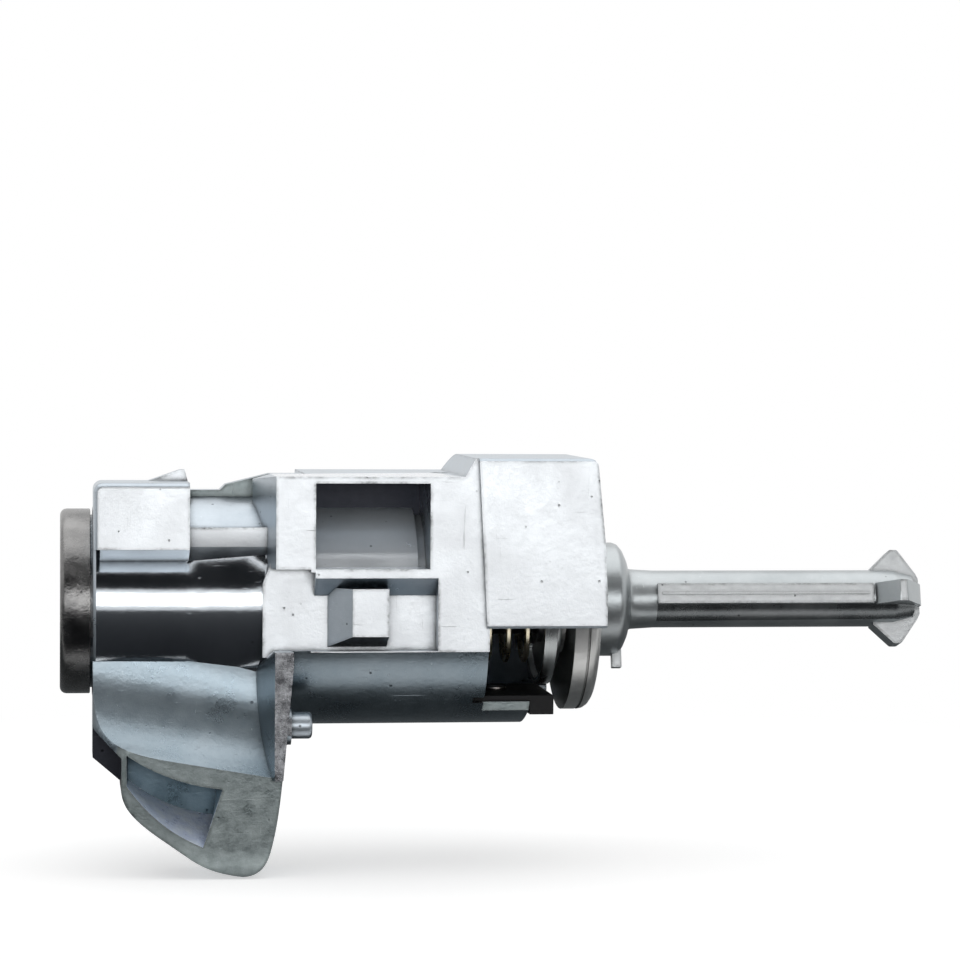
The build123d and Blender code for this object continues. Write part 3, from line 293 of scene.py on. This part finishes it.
housing = finished("housing", "casing",
                   (cast_side_shaded, cast_edge, cast_barrel, cast_shelf,
                    cast_torn, cast_face_lit, cast_fin, cast_pocket_shade,
                    cast_floor_lit, cast_deep_shade, cast_painted_light),
                   0.26, angle=28)
(SIDE, EDGE, BARREL, SHELF, TORN, FACE, FIN, POCKET_SHADE, FLOOR_LIT, DEEP_SHADE,
 PAINTED_LIGHT) = range(11)
barrel_end, barrel_radius = 25.0, 13.3
under_radius = 17.1
plate_front, plate_rear = 23.9, 27.0
plate_edge_y, plate_top = -17.9, -3.0
peg_root, peg_radius = 26.6, 2.2
peg_y, peg_z = -15.6, -15.7
window_left, window_right = 29.0, 45.2
window_sill, window_near_y = 4.0, -16.5
neck_near_y, neck_low = -8.0, 10.0
tongue_left, tongue_top = 40.0, -14.0
undercut_right, undercut_top, undercut_near_y = 4.2, -19.0, -14.0
lobe_right, lobe_top, lobe_near_y = 26.0, -7.0, -14.0
pocket_right, pocket_back_y, pocket_top = 17.4, -8.5, -19.0
floor_left_z, floor_slope = -22.0, -0.25
body_near_y, body_low = -11.0, -12.0


def finish_of(x, y, z, normal):
    """The finish of a housing face, by its middle in mm and its normal."""
    reach = math.hypot(y, z)
    out = (normal.y * y + normal.z * z) / max(reach, 0.1)
    near = normal.y < -0.93
    up = normal.z > 0.3
    on_barrel = (x < barrel_end and abs(reach - barrel_radius) < 0.9
                 and out > 0.85)
    under = abs(reach - under_radius) < 0.3 and out > 0.95
    on_peg = x > peg_root and math.hypot(y - peg_y, z - peg_z) < peg_radius
    on_plate = (plate_front < x < plate_rear and y < plate_edge_y
                and z < plate_top)
    on_neck = x < window_left and y > neck_near_y and z > neck_low
    on_tongue = x > tongue_left and z < tongue_top
    on_lobe = x < lobe_right and z < lobe_top
    in_window = (window_left < x < window_right and z > window_sill
                 and y > window_near_y)
    in_undercut = (x < undercut_right and y > undercut_near_y
                   and z < undercut_top)
    in_pocket = x < pocket_right and y < pocket_back_y
    floor_z = floor_left_z + floor_slope * x
    if on_peg:
        return SIDE
    if on_plate:
        return TORN
    if near and (on_neck or on_tongue):
        return FIN
    # Painted shade on the window's back wall.
    if near and in_window:
        return DEEP_SHADE
    if on_barrel:
        return BARREL
    # Painted light on the window's upturned floor.
    if in_window and normal.z > 0.2:
        return PAINTED_LIGHT
    # Painted shade in the undercut.
    if in_undercut:
        return DEEP_SHADE
    if near and on_lobe and y < lobe_near_y:
        return FIN
    # Painted light on the pocket's floor.
    if in_pocket and up and z < floor_z:
        return FLOOR_LIT
    # Painted shade on the pocket's walls.
    if in_pocket and not up and z < pocket_top:
        return POCKET_SHADE
    if on_lobe or under:
        return SHELF
    # Painted light and shade: near faces, unless low and set back, take the light copy;
    # the rest take the darker, shaded copy.
    if near and (y < body_near_y or z > body_low):
        return FACE
    return SIDE


for face in housing.data.polygons:
    x, y, z = face.center / MM
    if face.material_index != EDGE:
        face.material_index = finish_of(x, y, z, face.normal)
    # Painted highlight: the rolled edges of the lower front take the near-white copy.
    elif x < plate_rear and z < lobe_top:
        face.material_index = PAINTED_LIGHT


# The lock sleeve is a turned brass tube pressed into the bore, held by a
# plain steel pin that is driven in from the side.
def turned(name, dark, light, shine, dull, depth=0.008, pitch=2600):
    """A lathe finish: fine rings round the lock's axis."""
    finish = bpy.data.materials.new(name)
    finish.use_nodes = True
    tree = finish.node_tree
    shader = tree.nodes["Principled BSDF"]
    shader.inputs["Metallic"].default_value = 1.0
    place = tree.nodes.new("ShaderNodeTexCoord").outputs["Object"]
    parts = add(tree, "SeparateXYZ", Vector=place)
    flat = add(tree, "CombineXYZ", Y=parts.outputs[1], Z=parts.outputs[2])
    reach = add(tree, "VectorMath", {"operation": "LENGTH"})
    tree.links.new(flat.outputs[0], reach.inputs[0])
    along = add(tree, "CombineXYZ", X=parts.outputs[0],
                Y=reach.outputs["Value"])
    rings = add(tree, "TexNoise", Vector=along.outputs[0], Scale=pitch,
                Detail=3.0, Roughness=0.6)
    marks = tree.nodes.new("ShaderNodeGroup")
    marks.node_tree = skin
    for socket, scale in zip(marks.inputs, (120, 1600, 800)):
        socket.default_value = scale
    blotches, fine, holes, worn = marks.outputs
    mixed = sum_up(tree, "ADD", sum_up(tree, "MULTIPLY", blotches, 0.6),
                   sum_up(tree, "MULTIPLY", rings.outputs[0], 0.4))
    colour = tint(tree, ramp(tree, mixed, 0.2, 0.8), dark, light)
    colour = tint(tree, sum_up(tree, "MULTIPLY", holes, 0.6), colour,
                  [0.3 * part for part in dark])
    tree.links.new(colour, shader.inputs["Base Color"])
    tree.links.new(ramp(tree, mixed, 0.2, 0.8, shine, dull),
                   shader.inputs["Roughness"])
    relief = sum_up(tree, "ADD", rings.outputs[0],
                    sum_up(tree, "MULTIPLY", fine, 0.6))
    relief = sum_up(tree, "SUBTRACT", relief,
                    sum_up(tree, "ADD", worn, holes))
    bump = add(tree, "Bump", Height=relief, Strength=1.0,
               Distance=depth * MM)
    tree.links.new(bump.outputs[0], shader.inputs["Normal"])
    return finish


sleeve_brass = turned("sleeve_turned_brass", (0.50, 0.40, 0.20),
                      (0.66, 0.56, 0.32), 0.22, 0.4)
pin_steel = metal("pin_ground_steel", (0.42, 0.43, 0.44),
                  (0.66, 0.67, 0.68), 0.18, 0.34, depth=0.01)
finished("lock_sleeve", "casing", (sleeve_brass,), 0.12)
finished("sleeve_pin", "casing", (pin_steel,), 0.1)


# The plug is the zinc core that turns in the sleeve. Eight stamped brass
# wafers slide across it, each pushed by a finger of a thin spring comb.
plug_zinc = turned("plug_satin_zinc", (0.36, 0.36, 0.35),
                   (0.56, 0.56, 0.54), 0.26, 0.44)
wafer_brass = metal("wafer_stamped_brass", (0.52, 0.40, 0.17),
                    (0.74, 0.62, 0.33), 0.22, 0.42, depth=0.02,
                    scales=(260, 2200, 500))
wafer_edge = metal("wafer_sheared_edge", (0.60, 0.49, 0.25),
                   (0.84, 0.73, 0.45), 0.18, 0.36, depth=0.03,
                   scales=(400, 2600, 600))
finished("plug", "core", (plug_zinc, pin_steel), 0.1)
for node in ("wafer_comb_right", "wafer_comb_left"):
    nodes[node].data.materials[0] = pin_steel
for number, letter in enumerate("abcdefgh", start=1):
    finished(f"wafer_{number}", "wafer_" + letter,
             (wafer_brass, wafer_edge), 0.06)


# The slot's shutter is bent steel sheet on a cross pin, closed by a small
# wire spring round the same pin.
shutter_steel = metal("shutter_pressed_steel", (0.34, 0.34, 0.35),
                      (0.58, 0.58, 0.58), 0.24, 0.42, depth=0.012,
                      scales=(300, 2400, 500))
finished("shutter", "flap", (shutter_steel, pin_steel), 0.06)
finished("shutter_pin", "core", (pin_steel,), 0.05)
nodes["shutter_spring"].data.materials[0] = pin_steel


# The front cap is a drawn cup of dark steel pressed over the nose, scuffed
# on its rim. The rubber seal sits in the groove behind it.
cap_side = metal("cap_dark_steel", (0.105, 0.105, 0.105),
                 (0.29, 0.286, 0.283), 0.16, 0.36, depth=0.04, grain=1.4,
                 pits=2.4, scratches=0.9, scales=(170, 1100, 700))
cap_edge = metal("cap_scuffed_rim", (0.10, 0.098, 0.096),
                 (0.30, 0.294, 0.288), 0.16, 0.36, depth=0.05,
                 scales=(320, 1500, 900))
rubber = metal("seal_matt_rubber", (0.010, 0.010, 0.010),
               (0.026, 0.026, 0.027), 0.62, 0.82, depth=0.02,
               scratches=0.1, metallic=0.0)
finished("front_cap", "casing", (cap_side, cap_edge), 0.14)
finished("cap_seal", "casing", (rubber,), 0.05)


# Behind the sleeve a spring clip keeps the plug in, and the dark sintered
# coupler carries its turn to the tail through a pin.
coupler_grey = metal("coupler_sintered_steel", (0.12, 0.12, 0.12),
                     (0.24, 0.24, 0.235), 0.3, 0.5, depth=0.03,
                     scales=(220, 1900, 500))
clip_steel = metal("clip_spring_steel", (0.16, 0.15, 0.14),
                   (0.32, 0.30, 0.28), 0.24, 0.4, depth=0.012)
finished("plug_clip", "core", (clip_steel, pin_steel), 0.06)
finished("drive_coupler", "core", (coupler_grey, pin_steel), 0.12)
finished("coupler_pin", "core", (pin_steel,), 0.05)
finished("coupler_clip", "tail", (clip_steel, pin_steel), 0.06)


# The return spring is oiled wire with a yellow passivated skin. A black
# moulded strip below keeps it in and is riveted to the rear tongue.
wire_steel = metal("spring_passivated_wire", (0.76, 0.68, 0.48),
                   (0.95, 0.88, 0.70), 0.2, 0.36, depth=0.012,
                   scales=(260, 1800, 600))
nodes["return_spring"].data.materials[0] = wire_steel
moulding = metal("strip_black_moulding", (0.010, 0.010, 0.011),
                 (0.020, 0.020, 0.021), 0.5, 0.7, depth=0.018,
                 pits=0.4, scratches=0.25, scales=(200, 2400, 300),
                 metallic=0.0)
moulding.node_tree.nodes["Principled BSDF"].inputs[
    "Specular IOR Level"].default_value = 0.2
finished("spring_retainer", "casing", (moulding,), 0.15)
finished("retainer_rivet", "casing", (clip_steel,), 0.1)


# The spring seat and its washer are plated pressings behind the spring,
# and the drive disc is a warm grey casting with a turned line round it.
plating = turned("seat_satin_plating", (0.36, 0.38, 0.38),
                 (0.62, 0.64, 0.64), 0.24, 0.4)
disc_cast = metal("disc_warm_grey", (0.60, 0.60, 0.588),
                  (0.76, 0.76, 0.745), 0.3, 0.46, depth=0.03,
                  scales=(160, 1500, 800), corner_shade=0.8)
disc_edge = metal("disc_worn_edge", (0.30, 0.295, 0.285),
                  (0.52, 0.51, 0.495), 0.26, 0.42, depth=0.03)
finished("spring_seat", "tail", (plating, pin_steel), 0.12)
finished("thrust_washer", "tail", (plating,), 0.08)
disc_front = metal("disc_dark_front", (0.05, 0.06, 0.057),
                   (0.12, 0.135, 0.13), 0.3, 0.46, depth=0.02)
disc = finished("drive_disc", "tail", (disc_cast, disc_edge, disc_front),
                0.2)
DISC_FRONT = 2
for face in disc.data.polygons:
    if face.normal.x < -0.7:
        face.material_index = DISC_FRONT


# The tail shaft is a satin zinc casting with a domed collar, ribs, and a
# four-finned tip. A square steel pin crosses its collar.
tail_cast = metal("tail_satin_zinc", (0.335, 0.36, 0.37),
                  (0.47, 0.495, 0.505), 0.3, 0.42, depth=0.02,
                  scales=(110, 1700, 800), corner_shade=0.8)
tail_edge = metal("tail_rolled_edge", (0.30, 0.32, 0.33),
                  (0.52, 0.54, 0.55), 0.3, 0.46, depth=0.02)
# Painted highlight: a lighter copy of the tail's zinc for the rib faces turned to the
# camera and for the whole pin.
tail_rib_lit = metal("tail_rippled_rib_lit", (0.60, 0.62, 0.63),
                 (0.78, 0.80, 0.81), 0.4, 0.54, depth=0.05, grain=1.4,
                 scales=(400, 1000, 900), corner_shade=0.6, rim=0.8)
# Painted shade: a darker copy for the faces below the rib that turn down.
tail_shade = metal("tail_dark_underside", (0.13, 0.14, 0.145),
                   (0.23, 0.24, 0.245), 0.22, 0.34, depth=0.02,
                   scales=(110, 1700, 800), corner_shade=0.8)
shaft = finished("tail_shaft", "tail",
                 (tail_cast, tail_edge, tail_rib_lit, tail_shade), 0.16)
RIB_LIT, SHADE = 2, 3
shaft_start, shaft_reach = 78.0, 4.25
# Painted highlight on proud faces turned to the camera, painted shade on the faces below
# that turn down.
for face in shaft.data.polygons:
    x, y, z = face.center / MM
    proud = math.hypot(y, z) > shaft_reach
    turned_down = face.normal.y < -0.72 and face.normal.z < -0.03
    if face.material_index == 0 and x > shaft_start:
        if proud and face.normal.y < -0.93:
            face.material_index = RIB_LIT
        elif turned_down and not proud:
            face.material_index = SHADE
# The pin takes the painted highlight too.
finished("tail_pin", "tail", (tail_rib_lit, tail_edge), 0.12)


# The lock stands over a pale sheet in a plain studio: one long softbox in
# front, one above, and black and grey flags that only reflections see, as
# a photographer sets round bright metal.
floor_z = cad_box[0][2] - 0.0003
centre = Vector((0.054, 0.0, 0.0))


def light_path(tree):
    """1 for rays that the camera sees, straight or mirrored."""
    path = tree.nodes.new("ShaderNodeLightPath").outputs
    seen = sum_up(tree, "MAXIMUM", path["Is Camera Ray"],
                  path["Is Glossy Ray"])
    return sum_up(tree, "MAXIMUM", seen, path["Is Transmission Ray"])


def pale_sheet():
    """Diffuse near the lock, so that it holds a shadow, and white beyond."""
    finish = bpy.data.materials.new("pale_sheet")
    finish.use_nodes = True
    tree = finish.node_tree
    tree.nodes.clear()
    end = tree.nodes.new("ShaderNodeOutputMaterial")
    paper = add(tree, "BsdfDiffuse", Color=(0.86, 0.86, 0.86, 1.0))
    seen = light_path(tree)
    lift = add(tree, "Emission", Color=(1.0, 1.0, 1.0, 1.0),
               Strength=sum_up(tree, "MULTIPLY", seen, 0.50))
    near = tree.nodes.new("ShaderNodeAddShader")
    tree.links.new(paper.outputs[0], near.inputs[0])
    tree.links.new(lift.outputs[0], near.inputs[1])
    beyond = add(tree, "Emission", Color=(1.0, 1.0, 1.0, 1.0),
                 Strength=sum_up(tree, "MULTIPLY", seen, 1.0))
    place = tree.nodes.new("ShaderNodeTexCoord").outputs["Object"]
    away = add(tree, "VectorMath", {"operation": "DISTANCE"})
    tree.links.new(place, away.inputs[0])
    away.inputs[1].default_value = (centre.x, 0.0, 0.0)
    fade = ramp(tree, away.outputs["Value"], 0.07, 0.20)
    mix = tree.nodes.new("ShaderNodeMixShader")
    tree.links.new(fade, mix.inputs[0])
    tree.links.new(near.outputs[0], mix.inputs[1])
    tree.links.new(beyond.outputs[0], mix.inputs[2])
    tree.links.new(mix.outputs[0], end.inputs[0])
    return finish


def sheet(name, width, depth, place, tilt, finish):
    """A flat stage piece."""
    bpy.ops.object.select_all(action="DESELECT")
    bpy.ops.mesh.primitive_plane_add(size=1.0, location=place,
                                     rotation=tilt)
    piece = bpy.context.object
    piece.name = name
    piece.scale = (width, depth, 1.0)
    bpy.ops.object.transform_apply(location=True, rotation=True, scale=True)
    piece.data.materials.append(finish)
    return piece


sheet("floor", 8.0, 8.0, (centre.x, 0.0, floor_z), (0, 0, 0), pale_sheet())


def flag_cloth(name, colour):
    """Matt cloth over a card."""
    cloth = bpy.data.materials.new(name)
    cloth.use_nodes = True
    shader = cloth.node_tree.nodes["Principled BSDF"]
    shader.inputs["Base Color"].default_value = (*colour, 1.0)
    shader.inputs["Roughness"].default_value = 0.9
    return cloth


flag_black = flag_cloth("flag_black", (0.012, 0.014, 0.018))
flag_grey = flag_cloth("flag_grey", (0.13, 0.14, 0.145))
flag_reach = 0.6


def raised_flag(name, low, high):
    """A flag facing the lock between two elevations in degrees."""
    middle = math.radians((low + high) / 2)
    depth = 2 * flag_reach * math.tan(math.radians((high - low) / 2))
    place = (centre.x, -flag_reach * math.cos(middle),
             flag_reach * math.sin(middle))
    return sheet(name, 1.5, depth, place, (math.pi / 2 - middle, 0, 0),
                 flag_black)


def lying_flag(name, left, right, start, end, cloth):
    """A flag on the floor between two x values and two y values."""
    return sheet(name, right - left, end - start,
                 ((left + right) / 2, (start + end) / 2, floor_z + 0.002),
                 (0, 0, 0), cloth)


flags = (
    lying_flag("flag_low", left=-0.70, right=0.80, start=-0.28, end=-0.035,
               cloth=flag_black),
    lying_flag("flag_nose", left=-0.20, right=0.027, start=-0.035,
               end=-0.023, cloth=flag_black),
    lying_flag("flag_under", left=-0.20, right=0.30, start=-0.017,
               end=0.333, cloth=flag_grey),
    raised_flag("flag_brow", low=17, high=38),
    raised_flag("flag_high", low=44, high=57),
)
for flag in flags:
    flag.visible_camera = False
    flag.visible_diffuse = False
    flag.visible_shadow = False
    flag.visible_transmission = False


def softbox(name, place, width, height, power):
    """A rectangular lamp turned to the middle of the lock."""
    lamp = bpy.data.lights.new(name, "AREA")
    lamp.shape = "RECTANGLE"
    lamp.size = width
    lamp.size_y = height
    lamp.energy = power
    holder = bpy.data.objects.new(name, lamp)
    bpy.context.scene.collection.objects.link(holder)
    holder.location = place
    aim = centre - Vector(place)
    holder.rotation_euler = aim.to_track_quat("-Z", "Y").to_euler()
    holder.visible_camera = False


softbox("softbox_front", place=(0.02, -0.60, 0.055), width=0.90,
        height=0.15, power=1.0)
softbox("softbox_top", place=(0.05, 0.02, 0.55), width=0.90, height=0.80,
        power=1.7)

world = bpy.data.worlds.new("studio")
bpy.context.scene.world = world
world.use_nodes = True
air = world.node_tree
world_fill, world_seen = 0.38, 1.0
strength = ramp(air, light_path(air), 0.0, 1.0, world_fill, world_seen)
air.links.new(strength, air.nodes["Background"].inputs["Strength"])
air.nodes["Background"].inputs["Color"].default_value = (1, 1, 1, 1)

lens = bpy.data.cameras.new("camera")
lens.sensor_width = 36.0
lens.lens = 123.4
lens.clip_start = 0.01
camera = bpy.data.objects.new("camera", lens)
bpy.context.scene.collection.objects.link(camera)
camera.location = (-0.0044, -0.455, 0.0327)
aim_point = Vector((0.0537, 0.0, 0.0167))
aim = aim_point - camera.location
roll = Quaternion((0, 0, 1), math.radians(0.35))
camera.rotation_euler = (aim.to_track_quat("-Z", "Y") @ roll).to_euler()
bpy.context.scene.camera = camera
bpy.context.scene.view_settings.view_transform = "Standard"
